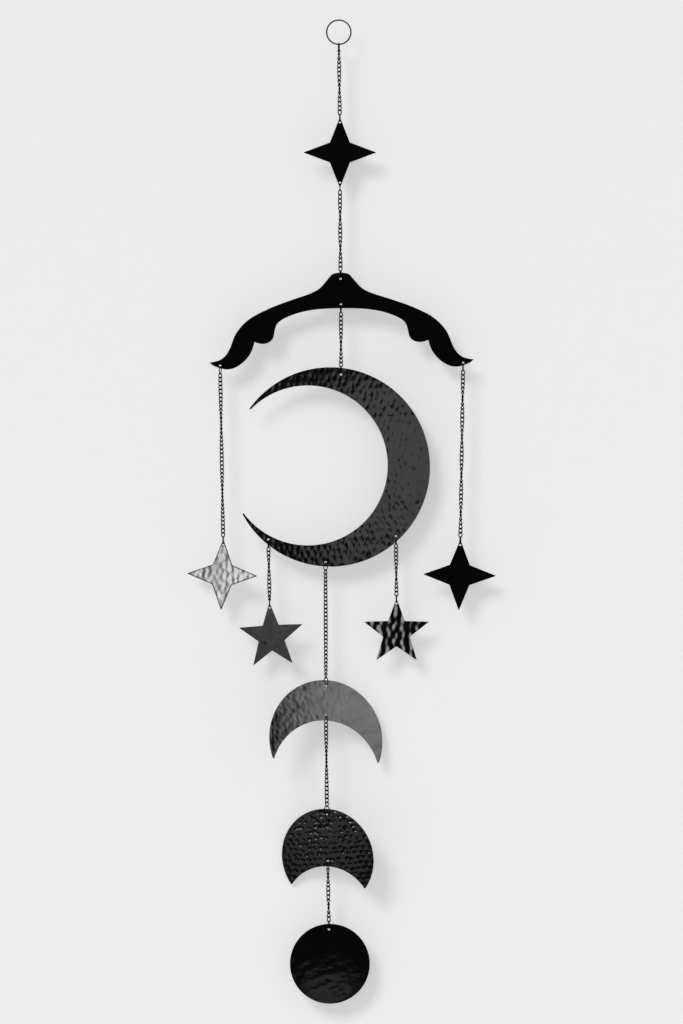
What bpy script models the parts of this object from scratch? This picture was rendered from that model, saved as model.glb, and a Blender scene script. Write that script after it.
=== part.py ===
"""Hanging mobile: moons and stars cut from sheet metal, strung on fine chains under a wire ring.

Metres, +Z up, front towards -Y. The origin is where the wire ring bears on its hook, at the
inside top of the ring. Every plate hangs from a jump ring in its top hole, so the places of all
pieces follow from the chain lengths, the jump rings and the holes.
"""
import math

import bmesh
import bpy
from mathutils import Matrix, Vector
from mathutils.geometry import tessellate_polygon

MM = 0.001

# Sheet and holes
SHEET = 1.0 * MM
HOLE_RADIUS = 1.1 * MM
HOLE_SIDES = 8
ROUND_PLATE_HOLE_MARGIN = 5.3 * MM
STAR_HOLE_MARGIN = 4.8 * MM

# Wire ring at the top
RING_OUTER_RADIUS = 12.8 * MM
RING_WIRE_RADIUS = 0.7 * MM
RING_STEPS = 20

# Jump rings and chain links
WIRE_RADIUS = 0.4 * MM
JUMP_RING_OUTER_RADIUS = 4.25 * MM
JUMP_RING_STEPS = 8
JUMP_RING_WIRE_CORNER = 0.6 * MM
LINK_HALF_WIDTH = 2.1 * MM
LINK_WIRE_CORNER = 0.55 * MM
LINK_CROSSING = math.radians(62)
LINK_END_SWING = math.radians(38)
HOLE_CLEARANCE = 0.2 * MM
LINK_CLEARANCE = 0.05 * MM

# Four-point stars
FOUR_STAR_HEIGHT = 70.0 * MM
FOUR_STAR_WIDTH = 72.0 * MM
FOUR_STAR_WAIST = 10.0 * MM

# Five-point stars
FIVE_STAR_RADIUS = 33.8 * MM
FIVE_STAR_INNER_RADIUS = 14.0 * MM

# Roundings of the stars' tips and hollows
STAR_TIP_RADIUS = 0.4 * MM
STAR_HOLLOW_RADIUS = 1.6 * MM

# Arch from which three strings hang
ARCH_SPAN = 264.2 * MM
ARCH_HEIGHT = 95.9 * MM
ARCH_TOP_HOLE_MARGIN = 6.5 * MM
ARCH_MIDDLE_HOLE_MARGIN = 3.8 * MM
ARCH_ARM_HOLE_MARGIN = 2.4 * MM
ARCH_ARM_HOLE_INSET = 9.9 * MM

# Large crescent, open to the left: its widest part, and how far its bite runs past its rim
CRESCENT_RADIUS = 99.7 * MM
CRESCENT_WIDTH = 42.4 * MM
CRESCENT_OVERRUN = 2.8 * MM
CRESCENT_OPENING = math.radians(176.2)
CRESCENT_TOP_HOLE_BEARING = math.radians(83.4)
CRESCENT_TOP_HOLE_MARGIN = 6.5 * MM
CRESCENT_LOWER_HOLE_MARGIN = 4.2 * MM
CRESCENT_LOWER_HOLE_BEARINGS = {
    "left": math.radians(229.5),
    "middle": math.radians(267.1),
    "right": math.radians(313.4),
}

# Smaller moons below it, open downwards
HALF_MOON_RADIUS = 59.9 * MM
HALF_MOON_WIDTH = 40.7 * MM
HALF_MOON_OVERRUN = 35.5 * MM
GIBBOUS_RADIUS = 49.5 * MM
GIBBOUS_WIDTH = 58.5 * MM
GIBBOUS_OVERRUN = 55.9 * MM
FULL_MOON_RADIUS = 40.0 * MM
MOON_TIP_RADIUS = 0.8 * MM

# Longest straight side on a round outline
ARC_STEP = 9.0 * MM

# Links in each chain
LINK_COUNTS = {
    "chain_top": 15,
    "chain_arch": 19,
    "chain_crescent": 13,
    "chain_left_star": 41,
    "chain_right_star": 39,
    "chain_left_small_star": 13,
    "chain_right_small_star": 13,
    "chain_half_moon": 28,
    "chain_gibbous_moon": 21,
    "chain_full_moon": 12,
}

# Distance from one link to the next
LINK_STEPS = {
    "chain_top": 4.287 * MM,
    "chain_arch": 4.237 * MM,
    "chain_crescent": 4.185 * MM,
    "chain_left_star": 3.983 * MM,
    "chain_right_star": 4.269 * MM,
    "chain_left_small_star": 4.040 * MM,
    "chain_right_small_star": 3.960 * MM,
    "chain_half_moon": 3.843 * MM,
    "chain_gibbous_moon": 3.962 * MM,
    "chain_full_moon": 4.367 * MM,
}

# Degrees: each chain's lean to the right, the facing of its first link, and the turn from one
# link to the next
CHAIN_ANGLES = {
    "chain_top": (0.8, 90, 21.0),
    "chain_arch": (0.4, -46, 23.7),
    "chain_crescent": (0.1, -42, 17.6),
    "chain_left_star": (1.0, -37, 10.3),
    "chain_right_star": (-0.9, -30, 20.0),
    "chain_left_small_star": (1.2, 10, 19.4),
    "chain_right_small_star": (0.5, -36, 17.3),
    "chain_half_moon": (0.2, -50, 3.9),
    "chain_gibbous_moon": (0.6, 0, 10.4),
    "chain_full_moon": (1.0, 64, 25.2),
}

# Each plate: roll in its own plane, turn out of it, and lean of the line that it turns about
PLATE_POSES = {
    "top_star": (0.0, 0.0, 0.0),
    "arch": (0.7, 0.0, 0.0),
    "crescent_moon": (0.0, 0.0, 0.0),
    "left_star": (-2.0, 14.8, 0.0),
    "right_star": (-1.3, 0.0, 0.0),
    "left_small_star": (3.4, 13.4, 0.0),
    "right_small_star": (0.0, 0.0, 0.0),
    "half_moon": (-1.5, -21.6, 23.6),
    "gibbous_moon": (-0.6, 23.6, 19.6),
    "full_moon": (1.5, 0.0, 0.0),
}

# How far each jump ring is turned from square to its plate
JUMP_RING_TURNS = {
    "chain_top_upper": 8, "chain_top_lower": 5,
    "chain_arch_upper": 0, "chain_arch_lower": 8,
    "chain_crescent_upper": 8, "chain_crescent_lower": 4,
    "chain_left_star_upper": 14, "chain_left_star_lower": 10,
    "chain_right_star_upper": 4, "chain_right_star_lower": 8,
    "chain_left_small_star_upper": 6, "chain_left_small_star_lower": 12,
    "chain_right_small_star_upper": 6, "chain_right_small_star_lower": 4,
    "chain_half_moon_upper": 28, "chain_half_moon_lower": 10,
    "chain_gibbous_moon_upper": 4, "chain_gibbous_moon_lower": -16,
    "chain_full_moon_upper": 6, "chain_full_moon_lower": 10,
}

# Sizes that follow from the ones above
RING_RADIUS = RING_OUTER_RADIUS - RING_WIRE_RADIUS
RING_INNER_RADIUS = RING_OUTER_RADIUS - 2 * RING_WIRE_RADIUS
JUMP_RING_RADIUS = JUMP_RING_OUTER_RADIUS - WIRE_RADIUS
HOLE_SEAT = HOLE_RADIUS - WIRE_RADIUS - HOLE_CLEARANCE
LINK_SEAT = 2 * WIRE_RADIUS + LINK_CLEARANCE
RING_REACH = HOLE_SEAT + 2 * JUMP_RING_RADIUS - LINK_SEAT


def rounded_outline(corners):
    """Closed outline through corners given as (point, radius), each rounded by an arc."""
    outline = []
    for i, (corner, radius) in enumerate(corners):
        before = (corners[i - 1][0] - corner).normalized()
        after = (corners[(i + 1) % len(corners)][0] - corner).normalized()
        half_angle = before.angle(after) / 2
        reach = radius / math.tan(half_angle)
        centre = corner + (before + after).normalized() * radius / math.sin(half_angle)
        start = corner + before * reach - centre
        sweep = math.pi - 2 * half_angle
        if before.x * after.y - before.y * after.x > 0:
            sweep = -sweep
        for step in range(3):
            turned = Matrix.Rotation(sweep * step / 2, 2) @ start
            outline.append(centre + turned)
    return outline


def sharp_reach(reach, radius, half_angle):
    """Distance of the sharp corner whose rounded tip ends at reach."""
    return reach + radius * (1 / math.sin(half_angle) - 1)


def four_star_outline():
    """Star with four long points, centred on its middle."""
    corners = []
    for quarter in range(4):
        bearing = math.pi / 2 * (quarter + 1)
        half = (FOUR_STAR_HEIGHT if quarter % 2 == 0 else FOUR_STAR_WIDTH) / 2
        half_angle = math.atan(FOUR_STAR_WAIST / (half - FOUR_STAR_WAIST))
        reach = sharp_reach(half, STAR_TIP_RADIUS, half_angle)
        corners.append((Vector((math.cos(bearing), math.sin(bearing))) * reach, STAR_TIP_RADIUS))
        side = bearing + math.pi / 4
        hollow = Vector((math.cos(side), math.sin(side))) * FOUR_STAR_WAIST * math.sqrt(2)
        corners.append((hollow, STAR_HOLLOW_RADIUS))
    return rounded_outline(corners)


def five_star_outline():
    """Star with five points, centred on its middle."""
    corners = []
    step = math.pi / 5
    across = FIVE_STAR_INNER_RADIUS * math.sin(step)
    along = FIVE_STAR_RADIUS - FIVE_STAR_INNER_RADIUS * math.cos(step)
    reach = sharp_reach(FIVE_STAR_RADIUS, STAR_TIP_RADIUS, math.atan(across / along))
    for point in range(5):
        bearing = math.pi / 2 + 2 * step * point
        corners.append((Vector((math.cos(bearing), math.sin(bearing))) * reach, STAR_TIP_RADIUS))
        side = bearing + step
        hollow = Vector((math.cos(side), math.sin(side))) * FIVE_STAR_INNER_RADIUS
        corners.append((hollow, STAR_HOLLOW_RADIUS))
    return rounded_outline(corners)


def arc_points(centre, radius, start, end):
    """Points on an arc from bearing start to bearing end, both ends included."""
    steps = max(3, math.ceil(abs(end - start) * radius / ARC_STEP))
    bearings = [start + (end - start) * i / steps for i in range(steps + 1)]
    return [centre + Vector((math.cos(b), math.sin(b))) * radius for b in bearings]


def bite_of(radius, width, overrun):
    """Radius of a moon's bite, and how far its middle is from the disc's."""
    return radius - (width - overrun) / 2, (width + overrun) / 2


def moon_outline(radius, width, overrun, opening):
    """Disc with a round bite taken out towards the bearing opening, with rounded horn tips."""
    bite_radius, bite_offset = bite_of(radius, width, overrun)
    tip = MOON_TIP_RADIUS
    along = ((radius - tip) ** 2 - (bite_radius + tip) ** 2 + bite_offset ** 2) / (2 * bite_offset)
    across = math.sqrt((radius - tip) ** 2 - along ** 2)
    horn = math.atan2(across, along)
    bite_horn = math.atan2(across, along - bite_offset)
    inner_side = math.atan2(across, bite_offset - along)
    full = 2 * math.pi
    middle, bite = Vector((0, 0)), Vector((bite_offset, 0))
    first_tip, last_tip = Vector((along, -across)), Vector((along, across))
    outline = arc_points(middle, radius, horn, full - horn)
    outline += arc_points(first_tip, tip, -horn, inner_side)[1:]
    outline += arc_points(bite, bite_radius, full - bite_horn, bite_horn)[1:]
    outline += arc_points(last_tip, tip, -inner_side, horn)[1:-1]
    turn = Matrix.Rotation(opening, 2)
    return [turn @ point for point in outline]


def disc_outline(radius):
    return arc_points(Vector((0, 0)), radius, 0, 2 * math.pi)[:-1]


def smooth_line(anchors, steps):
    """Points on a centripetal Catmull-Rom curve through the anchors, both ends included."""
    ends = [2 * anchors[0] - anchors[1]] + anchors + [2 * anchors[-1] - anchors[-2]]
    line = [anchors[0]]
    for p0, p1, p2, p3 in zip(ends, ends[1:], ends[2:], ends[3:]):
        t0 = 0.0
        t1 = t0 + math.sqrt((p1 - p0).length)
        t2 = t1 + math.sqrt((p2 - p1).length)
        t3 = t2 + math.sqrt((p3 - p2).length)
        for step in range(1, steps + 1):
            t = t1 + (t2 - t1) * step / steps
            a1 = p0.lerp(p1, (t - t0) / (t1 - t0))
            a2 = p1.lerp(p2, (t - t1) / (t2 - t1))
            a3 = p2.lerp(p3, (t - t2) / (t3 - t2))
            b1 = a1.lerp(a2, (t - t0) / (t2 - t0))
            b2 = a2.lerp(a3, (t - t1) / (t3 - t1))
            line.append(b1.lerp(b2, (t - t1) / (t2 - t1)))
    return line


# The arch's left half, as shares of half its span and of its height below the crown
ARCH_UPPER_EDGE = (
    (0.000, 0.000), (0.063, 0.021), (0.098, 0.073), (0.162, 0.168), (0.226, 0.215),
    (0.381, 0.287), (0.542, 0.369), (0.704, 0.487), (0.797, 0.626), (0.847, 0.788),
    (0.876, 0.851), (0.911, 0.893), (0.953, 0.914), (1.000, 0.926),
)
ARCH_UNDERSIDE = (
    (1.000, 0.926), (0.975, 0.955), (0.926, 0.984), (0.870, 1.000), (0.821, 0.990),
    (0.764, 0.949), (0.715, 0.887), (0.679, 0.810), (0.657, 0.718),
)
ARCH_LOBE = (
    (0.657, 0.718), (0.622, 0.734), (0.588, 0.738), (0.553, 0.726), (0.520, 0.688),
    (0.507, 0.631),
)
ARCH_INNER_EDGE = (
    (0.507, 0.631), (0.498, 0.572), (0.480, 0.525), (0.438, 0.482), (0.367, 0.440),
    (0.283, 0.407), (0.192, 0.387), (0.087, 0.378), (0.000, 0.376),
)


def arch_edge(shares, steps):
    anchors = [Vector((-x * ARCH_SPAN / 2, -z * ARCH_HEIGHT)) for x, z in shares]
    return smooth_line(anchors, steps)


def arch_outline():
    """Arch with its crown at the origin: left half from the crown down, then its mirror."""
    left = arch_edge(ARCH_UPPER_EDGE, 2)
    left += arch_edge(ARCH_UNDERSIDE, 2)[1:]
    left += arch_edge(ARCH_LOBE, 2)[1:]
    left += arch_edge(ARCH_INNER_EDGE, 1)[1:]
    right = [Vector((-point.x, point.y)) for point in reversed(left[1:-1])]
    return left + right


def arch_holes():
    """Crown, middle and arm holes, each set in from the edge that it is nearest to."""
    underside = arch_edge(ARCH_UNDERSIDE, 4)
    arm_x = -ARCH_SPAN / 2 + ARCH_ARM_HOLE_INSET
    for start, end in zip(underside, underside[1:]):
        if start.x <= arm_x <= end.x:
            on_edge = start.lerp(end, (arm_x - start.x) / (end.x - start.x))
            inward = Vector((start.y - end.y, end.x - start.x)).normalized()
    arm = on_edge + inward * ARCH_ARM_HOLE_MARGIN
    middle_drop = ARCH_INNER_EDGE[-1][1] * ARCH_HEIGHT
    return {
        "top": Vector((0, -ARCH_TOP_HOLE_MARGIN)),
        "middle": Vector((0, -middle_drop + ARCH_MIDDLE_HOLE_MARGIN)),
        "left": arm,
        "right": Vector((-arm.x, arm.y)),
    }


def crescent_holes():
    def hole(bearing, margin):
        return Vector((math.cos(bearing), math.sin(bearing))) * (CRESCENT_RADIUS - margin)

    holes = {"top": hole(CRESCENT_TOP_HOLE_BEARING, CRESCENT_TOP_HOLE_MARGIN)}
    for name, bearing in CRESCENT_LOWER_HOLE_BEARINGS.items():
        holes[name] = hole(bearing, CRESCENT_LOWER_HOLE_MARGIN)
    return holes


def moon_holes(radius, width):
    """One hole under the top of the disc and one over the top of the bite."""
    bite_top = radius - width
    return {
        "top": Vector((0, radius - ROUND_PLATE_HOLE_MARGIN)),
        "bottom": Vector((0, bite_top + ROUND_PLATE_HOLE_MARGIN)),
    }


def plate_shapes():
    """Outline and named holes of every plate, in its own flat frame."""
    four_top = FOUR_STAR_HEIGHT / 2 - STAR_HOLE_MARGIN
    four = four_star_outline()
    five = five_star_outline()
    five_holes = {"top": Vector((0, FIVE_STAR_RADIUS - STAR_HOLE_MARGIN))}
    half = (HALF_MOON_RADIUS, HALF_MOON_WIDTH, HALF_MOON_OVERRUN)
    gibbous = (GIBBOUS_RADIUS, GIBBOUS_WIDTH, GIBBOUS_OVERRUN)
    crescent = (CRESCENT_RADIUS, CRESCENT_WIDTH, CRESCENT_OVERRUN)
    down = -math.pi / 2
    return {
        "top_star": (four, {"top": Vector((0, four_top)), "bottom": Vector((0, -four_top))}),
        "arch": (arch_outline(), arch_holes()),
        "crescent_moon": (moon_outline(*crescent, CRESCENT_OPENING), crescent_holes()),
        "left_star": (four, {"top": Vector((0, four_top))}),
        "right_star": (four, {"top": Vector((0, four_top))}),
        "left_small_star": (five, five_holes),
        "right_small_star": (five, five_holes),
        "half_moon": (moon_outline(*half, down), moon_holes(*half[:2])),
        "gibbous_moon": (moon_outline(*gibbous, down), moon_holes(*gibbous[:2])),
        "full_moon": (
            disc_outline(FULL_MOON_RADIUS),
            {"top": Vector((0, FULL_MOON_RADIUS - ROUND_PLATE_HOLE_MARGIN))},
        ),
    }


def hole_outline(centre):
    """Hole whose flats lie at the hole radius."""
    radius = HOLE_RADIUS / math.cos(math.pi / HOLE_SIDES)
    bearings = [2 * math.pi * (i + 0.5) / HOLE_SIDES for i in range(HOLE_SIDES)]
    return [centre + Vector((math.cos(b), math.sin(b))) * radius for b in bearings]


def new_object(name, mesh, material, parent):
    thing = bpy.data.objects.new(name, mesh)
    bpy.context.scene.collection.objects.link(thing)
    if material is not None:
        mesh.materials.append(material)
    thing.parent = parent
    return thing


def plate_mesh(name, outline, holes, origin):
    """Flat plate in the XZ plane, cut with its holes, with its mesh origin at the given point."""
    loops = [outline] + [hole_outline(hole) for hole in holes.values()]
    flat = [[Vector((p.x - origin.x, 0, p.y - origin.y)) for p in loop] for loop in loops]
    bm = bmesh.new()
    front = [[bm.verts.new(p + Vector((0, -SHEET / 2, 0))) for p in loop] for loop in flat]
    back = [[bm.verts.new(p + Vector((0, SHEET / 2, 0))) for p in loop] for loop in flat]
    front_flat = [vert for loop in front for vert in loop]
    back_flat = [vert for loop in back for vert in loop]
    level = [[Vector((p.x, p.z, 0)) for p in loop] for loop in flat]
    for a, b, c in tessellate_polygon(level):
        bm.faces.new((front_flat[a], front_flat[b], front_flat[c]))
        bm.faces.new((back_flat[c], back_flat[b], back_flat[a]))
    for front_loop, back_loop in zip(front, back):
        for i, vert in enumerate(front_loop):
            bm.faces.new((vert, front_loop[i - 1], back_loop[i - 1], back_loop[i]))
    bmesh.ops.recalc_face_normals(bm, faces=bm.faces)
    mesh = bpy.data.meshes.new(name)
    bm.to_mesh(mesh)
    bm.free()
    return mesh


def plate_rotation(roll, turn, lean):
    """Roll in the plate's plane, then turn about a line in it that leans from the vertical."""
    lean = math.radians(lean)
    line = Vector((math.sin(lean), 0, -math.cos(lean)))
    flat_roll = Matrix.Rotation(-math.radians(roll), 4, "Y")
    return Matrix.Rotation(math.radians(turn), 4, line) @ flat_roll


def sweep_ring(bm, stations):
    """Close a tube through stations, each a loop of points around the wire."""
    rings = [[bm.verts.new(point) for point in station] for station in stations]
    for i, ring in enumerate(rings):
        following = rings[(i + 1) % len(rings)]
        for j, vert in enumerate(ring):
            k = (j + 1) % len(ring)
            bm.faces.new((vert, following[j], following[k], ring[k]))


def wire_ring_mesh(name, radius, wire, steps, sides):
    """Ring of wire in the XZ plane, of given corner radius, with a flat towards the middle."""
    bm = bmesh.new()
    stations = []
    mitre = 1 / math.cos(math.pi / steps)
    for i in range(steps):
        bearing = 2 * math.pi * (i + 0.5) / steps
        outward = Vector((math.cos(bearing), 0, math.sin(bearing)))
        station = []
        for j in range(sides):
            around = 2 * math.pi * (j + (0.5 if sides % 2 == 0 else 0)) / sides
            out = (radius + wire * math.cos(around)) * mitre
            station.append(outward * out + Vector((0, wire * math.sin(around), 0)))
        stations.append(station)
    sweep_ring(bm, stations)
    bmesh.ops.recalc_face_normals(bm, faces=bm.faces)
    mesh = bpy.data.meshes.new(name)
    bm.to_mesh(mesh)
    bm.free()
    mesh.shade_smooth()
    mesh.set_sharp_from_angle(angle=math.radians(50))
    return mesh


def near_square(spin, ring_spin):
    """The nearest spin to the one given at which a link's end passes freely through a ring."""
    off = (spin - ring_spin + math.pi / 2) % math.pi - math.pi / 2
    return spin - off + max(-LINK_END_SWING, min(LINK_END_SWING, off))


def link_spins(index, name, ring_spins):
    """Turns about the vertical of the upper and the lower end of one link."""
    count = LINK_COUNTS[name]
    _, facing, turn = CHAIN_ANGLES[name]
    middle = -math.radians(facing + turn * index)
    twist = math.radians(turn) + LINK_CROSSING
    upper, lower = middle + twist / 2, middle - twist / 2
    if index == 0:
        upper = near_square(upper, ring_spins[0])
    if index == count - 1:
        lower = near_square(lower, ring_spins[1])
    return upper, lower


def add_link_corners(bm, drop, step, spins):
    """Corners of one link of four straight three-sided wires, by (side, end)."""
    wire = LINK_WIRE_CORNER
    half_length = step / 2 + wire / 2
    half_width = LINK_HALF_WIDTH - wire
    corners = {}
    for end in (1, -1):
        spin = Matrix.Rotation(spins[0] if end > 0 else spins[1], 3, "Z")
        for side in (-1, 1):
            points = []
            for j in range(3):
                out = wire * math.cos(2 * math.pi * j / 3)
                y = wire * math.sin(2 * math.pi * j / 3)
                local = Vector((side * (half_width + out), y, end * (half_length + out)))
                points.append(bm.verts.new(spin @ local + Vector((0, 0, -drop))))
            corners[side, end] = points
    return corners


def crossing_corners(bm, upper_spin, lower_spin, drop):
    """Corners of the patch where two crossing wires touch, by (upper wire's side, lower's)."""
    half = LINK_WIRE_CORNER * math.sin(math.pi / 3)
    upper = Vector((math.cos(upper_spin), math.sin(upper_spin), 0))
    lower = Vector((math.cos(lower_spin), math.sin(lower_spin), 0))
    across = math.sin(lower_spin - upper_spin)
    patch = {}
    for a in (1, -1):
        for b in (1, -1):
            place = (lower * a - upper * b) * half / across
            patch[a, b] = bm.verts.new(place + Vector((0, 0, -drop)))
    return patch


def add_plain_wire(bm, start, end):
    for j in range(3):
        k = (j + 1) % 3
        bm.faces.new((start[j], start[k], end[k], end[j]))


def add_side_wire(bm, upper, lower, side):
    """Side of a link, whose faces are split so that the twist doesn't pinch it."""
    for j in range(3):
        k = (j + side) % 3
        bm.faces.new((upper[j], lower[j], lower[k]))
        bm.faces.new((upper[j], lower[k], upper[k]))


def add_touching_wire(bm, start, end, edges):
    """Straight wire whose inner face holds the patch; edges gives the patch's corners."""
    along = end[0].co - start[0].co
    near, far = [], []
    for side in (1, -1):
        pair = sorted(edges[side], key=lambda vert: vert.co.dot(along))
        near.append(pair[0])
        far.append(pair[1])
    bm.faces.new((start[1], near[0], near[1], start[2]))
    bm.faces.new((far[0], end[1], end[2], far[1]))
    for i, inner in enumerate((1, 2)):
        bm.faces.new((start[0], start[inner], near[i]))
        bm.faces.new((start[0], near[i], far[i], end[0]))
        bm.faces.new((end[0], far[i], end[inner]))


def chain_mesh(name, ring_spins):
    """Chain hanging from the origin, its links made one where they touch."""
    bm = bmesh.new()
    count, step = LINK_COUNTS[name], LINK_STEPS[name]
    top = step / 2 + WIRE_RADIUS
    above = None
    for i in range(count):
        spins = link_spins(i, name, ring_spins)
        corners = add_link_corners(bm, top + i * step, step, spins)
        for side in (-1, 1):
            add_side_wire(bm, corners[side, 1], corners[side, -1], side)
        if above is None:
            add_plain_wire(bm, corners[-1, 1], corners[1, 1])
        else:
            last, last_spin = above
            patch = crossing_corners(bm, last_spin, spins[0], top + (i - 0.5) * step)
            by_upper = {a: (patch[a, 1], patch[a, -1]) for a in (1, -1)}
            by_lower = {b: (patch[1, b], patch[-1, b]) for b in (1, -1)}
            add_touching_wire(bm, last[-1, -1], last[1, -1], by_upper)
            add_touching_wire(bm, corners[-1, 1], corners[1, 1], by_lower)
        above = corners, spins[1]
    add_plain_wire(bm, above[0][-1, -1], above[0][1, -1])
    bmesh.ops.recalc_face_normals(bm, faces=bm.faces)
    mesh = bpy.data.meshes.new(name)
    bm.to_mesh(mesh)
    bm.free()
    return mesh


def chain_span(count, step):
    """Distance from the middle of the upper hole to the middle of the lower one."""
    return 2 * RING_REACH + count * step + 2 * WIRE_RADIUS


def hang_direction(lean):
    lean = math.radians(lean)
    return Vector((math.sin(lean), 0, -math.cos(lean)))


def add_jump_ring(name, centre, down, square_to, turn, material, parent):
    """Jump ring whose plane holds the line of the chain and is square to square_to."""
    up = -down
    axis = (square_to - up * square_to.dot(up)).normalized()
    axis = Matrix.Rotation(math.radians(turn), 3, up) @ axis
    frame = Matrix((up.cross(axis), -axis, up)).transposed()
    mesh = wire_ring_mesh(name, JUMP_RING_RADIUS, JUMP_RING_WIRE_CORNER, JUMP_RING_STEPS, 3)
    ring = new_object(name, mesh, material, parent)
    ring.location = centre
    ring.rotation_euler = frame.to_euler()


def add_chain(name, upper_hole, upper_side, lower_side, material, parent):
    """Chain with a jump ring at each end, hung from upper_hole; gives the lower hole's place."""
    lean = CHAIN_ANGLES[name][0]
    down = hang_direction(lean)
    lower_hole = upper_hole + down * chain_span(LINK_COUNTS[name], LINK_STEPS[name])
    ring_drop = HOLE_SEAT + JUMP_RING_RADIUS
    upper_turn = JUMP_RING_TURNS[name + "_upper"]
    lower_turn = JUMP_RING_TURNS[name + "_lower"]
    upper_name, lower_name = "upper_ring_of_" + name, "lower_ring_of_" + name
    add_jump_ring(upper_name, upper_hole + down * ring_drop, down, upper_side, upper_turn, material, parent)
    add_jump_ring(lower_name, lower_hole - down * ring_drop, down, lower_side, lower_turn, material, parent)
    ring_spins = [
        math.atan2(side.y, side.x) + math.radians(ring_turn)
        for side, ring_turn in ((upper_side, upper_turn), (lower_side, lower_turn))
    ]
    links = new_object(name, chain_mesh(name, ring_spins), material, parent)
    links.location = upper_hole + down * RING_REACH
    links.rotation_euler = (0, math.radians(-lean), 0)
    return lower_hole


def add_plate(name, shape, hole_place, material, parent):
    """Plate hung by its top hole; gives the world places of its holes and its sideways line."""
    outline, holes = shape
    origin = holes["top"]
    rotation = plate_rotation(*PLATE_POSES[name])
    plate = new_object(name, plate_mesh(name, outline, holes, origin), material, parent)
    plate.location = hole_place
    plate.rotation_euler = rotation.to_euler()
    places = {}
    for key, hole in holes.items():
        offset = Vector((hole.x - origin.x, 0, hole.y - origin.y))
        places[key] = hole_place + (rotation @ offset)
    return places


def plate_side(name):
    return (plate_rotation(*PLATE_POSES[name]) @ Vector((1, 0, 0))).normalized()


def principled(name, colour, roughness, metallic):
    material = bpy.data.materials.new(name)
    material.use_nodes = True
    shader = material.node_tree.nodes["Principled BSDF"]
    shader.inputs["Base Color"].default_value = (*colour, 1)
    shader.inputs["Roughness"].default_value = roughness
    shader.inputs["Metallic"].default_value = metallic
    return material


def clear_scene():
    for thing in list(bpy.data.objects):
        bpy.data.objects.remove(thing, do_unlink=True)


def build_mobile():
    clear_scene()
    origin = bpy.data.objects.new("hanging_point", None)
    bpy.context.scene.collection.objects.link(origin)
    enamel = principled("black_enamel", (0.004, 0.004, 0.0042), 0.22, 0.0)
    bright = principled("bright_metal", (0.42, 0.42, 0.43), 0.32, 0.9)
    wire = principled("black_wire", (0.012, 0.012, 0.0125), 0.3, 0.0)

    wire_corner = RING_WIRE_RADIUS / math.cos(math.pi / 4)
    ring_mesh = wire_ring_mesh("hanging_ring", RING_RADIUS, wire_corner, RING_STEPS, 4)
    ring = new_object("hanging_ring", ring_mesh, wire, origin)
    ring.location = (0, 0, -RING_INNER_RADIUS)

    shapes = plate_shapes()
    across = Vector((1, 0, 0))
    bearing_rise = WIRE_RADIUS + HOLE_CLEARANCE + HOLE_SEAT
    start = Vector((0, 0, -2 * RING_INNER_RADIUS + bearing_rise))
    hole = add_chain("chain_top", start, across, across, wire, origin)
    top_star = add_plate("top_star", shapes["top_star"], hole, enamel, origin)
    hole = add_chain("chain_arch", top_star["bottom"], across, across, wire, origin)
    arch = add_plate("arch", shapes["arch"], hole, enamel, origin)

    def hang(chain, above, above_hole, plate, material=enamel):
        places, above_name = above
        lower = add_chain(chain, places[above_hole], plate_side(above_name), plate_side(plate), wire, origin)
        return add_plate(plate, shapes[plate], lower, material, origin), plate

    arch = (arch, "arch")
    crescent = hang("chain_crescent", arch, "middle", "crescent_moon")
    hang("chain_left_star", arch, "left", "left_star", bright)
    hang("chain_right_star", arch, "right", "right_star")
    hang("chain_left_small_star", crescent, "left", "left_small_star")
    hang("chain_right_small_star", crescent, "right", "right_small_star")
    half_moon = hang("chain_half_moon", crescent, "middle", "half_moon")
    gibbous = hang("chain_gibbous_moon", half_moon, "bottom", "gibbous_moon")
    hang("chain_full_moon", gibbous, "bottom", "full_moon")


build_mobile()
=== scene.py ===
"""Dressed model of a hanging mobile of hammered sheet-metal moons and stars on fine chains."""
import math

import bmesh
import bpy
import numpy as np
from mathutils import Matrix, Vector
from mathutils.geometry import delaunay_2d_cdt


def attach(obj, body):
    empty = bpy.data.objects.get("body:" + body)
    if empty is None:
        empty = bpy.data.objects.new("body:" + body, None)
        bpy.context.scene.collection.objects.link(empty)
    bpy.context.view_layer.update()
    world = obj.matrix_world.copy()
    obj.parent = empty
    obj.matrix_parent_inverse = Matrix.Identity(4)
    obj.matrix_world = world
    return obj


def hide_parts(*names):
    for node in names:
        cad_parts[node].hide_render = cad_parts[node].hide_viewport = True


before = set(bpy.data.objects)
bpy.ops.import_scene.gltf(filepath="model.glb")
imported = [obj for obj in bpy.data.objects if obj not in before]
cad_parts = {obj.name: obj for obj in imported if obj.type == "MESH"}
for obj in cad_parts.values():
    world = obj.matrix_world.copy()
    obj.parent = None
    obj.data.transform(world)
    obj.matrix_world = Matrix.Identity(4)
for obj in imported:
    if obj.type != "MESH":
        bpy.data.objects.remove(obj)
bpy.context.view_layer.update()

bl_info = {
    "name": "Hanging mobile of moons and stars",
    "version": (1, 0, 0),
    "blender": (4, 5, 0),
    "location": "View3D > Sidebar > Mobile",
    "description": "Builds the moons, stars, arch, chains and rings of a hanging mobile",
    "category": "Add Mesh",
}

MM = 0.001

# Sheet and holes
SHEET = 1.0 * MM
HOLE_RADIUS = 1.1 * MM
ROUND_PLATE_HOLE_MARGIN = 5.3 * MM
STAR_HOLE_MARGIN = 4.8 * MM

# Wire ring at the top: its joint's bearing, and how far its ends gape and miss each other
RING_OUTER_RADIUS = 12.8 * MM
RING_WIRE_RADIUS = 0.7 * MM
RING_JOINT = math.radians(97)
RING_GAP = 0.2 * MM
RING_MISS = 0.16 * MM

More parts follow.
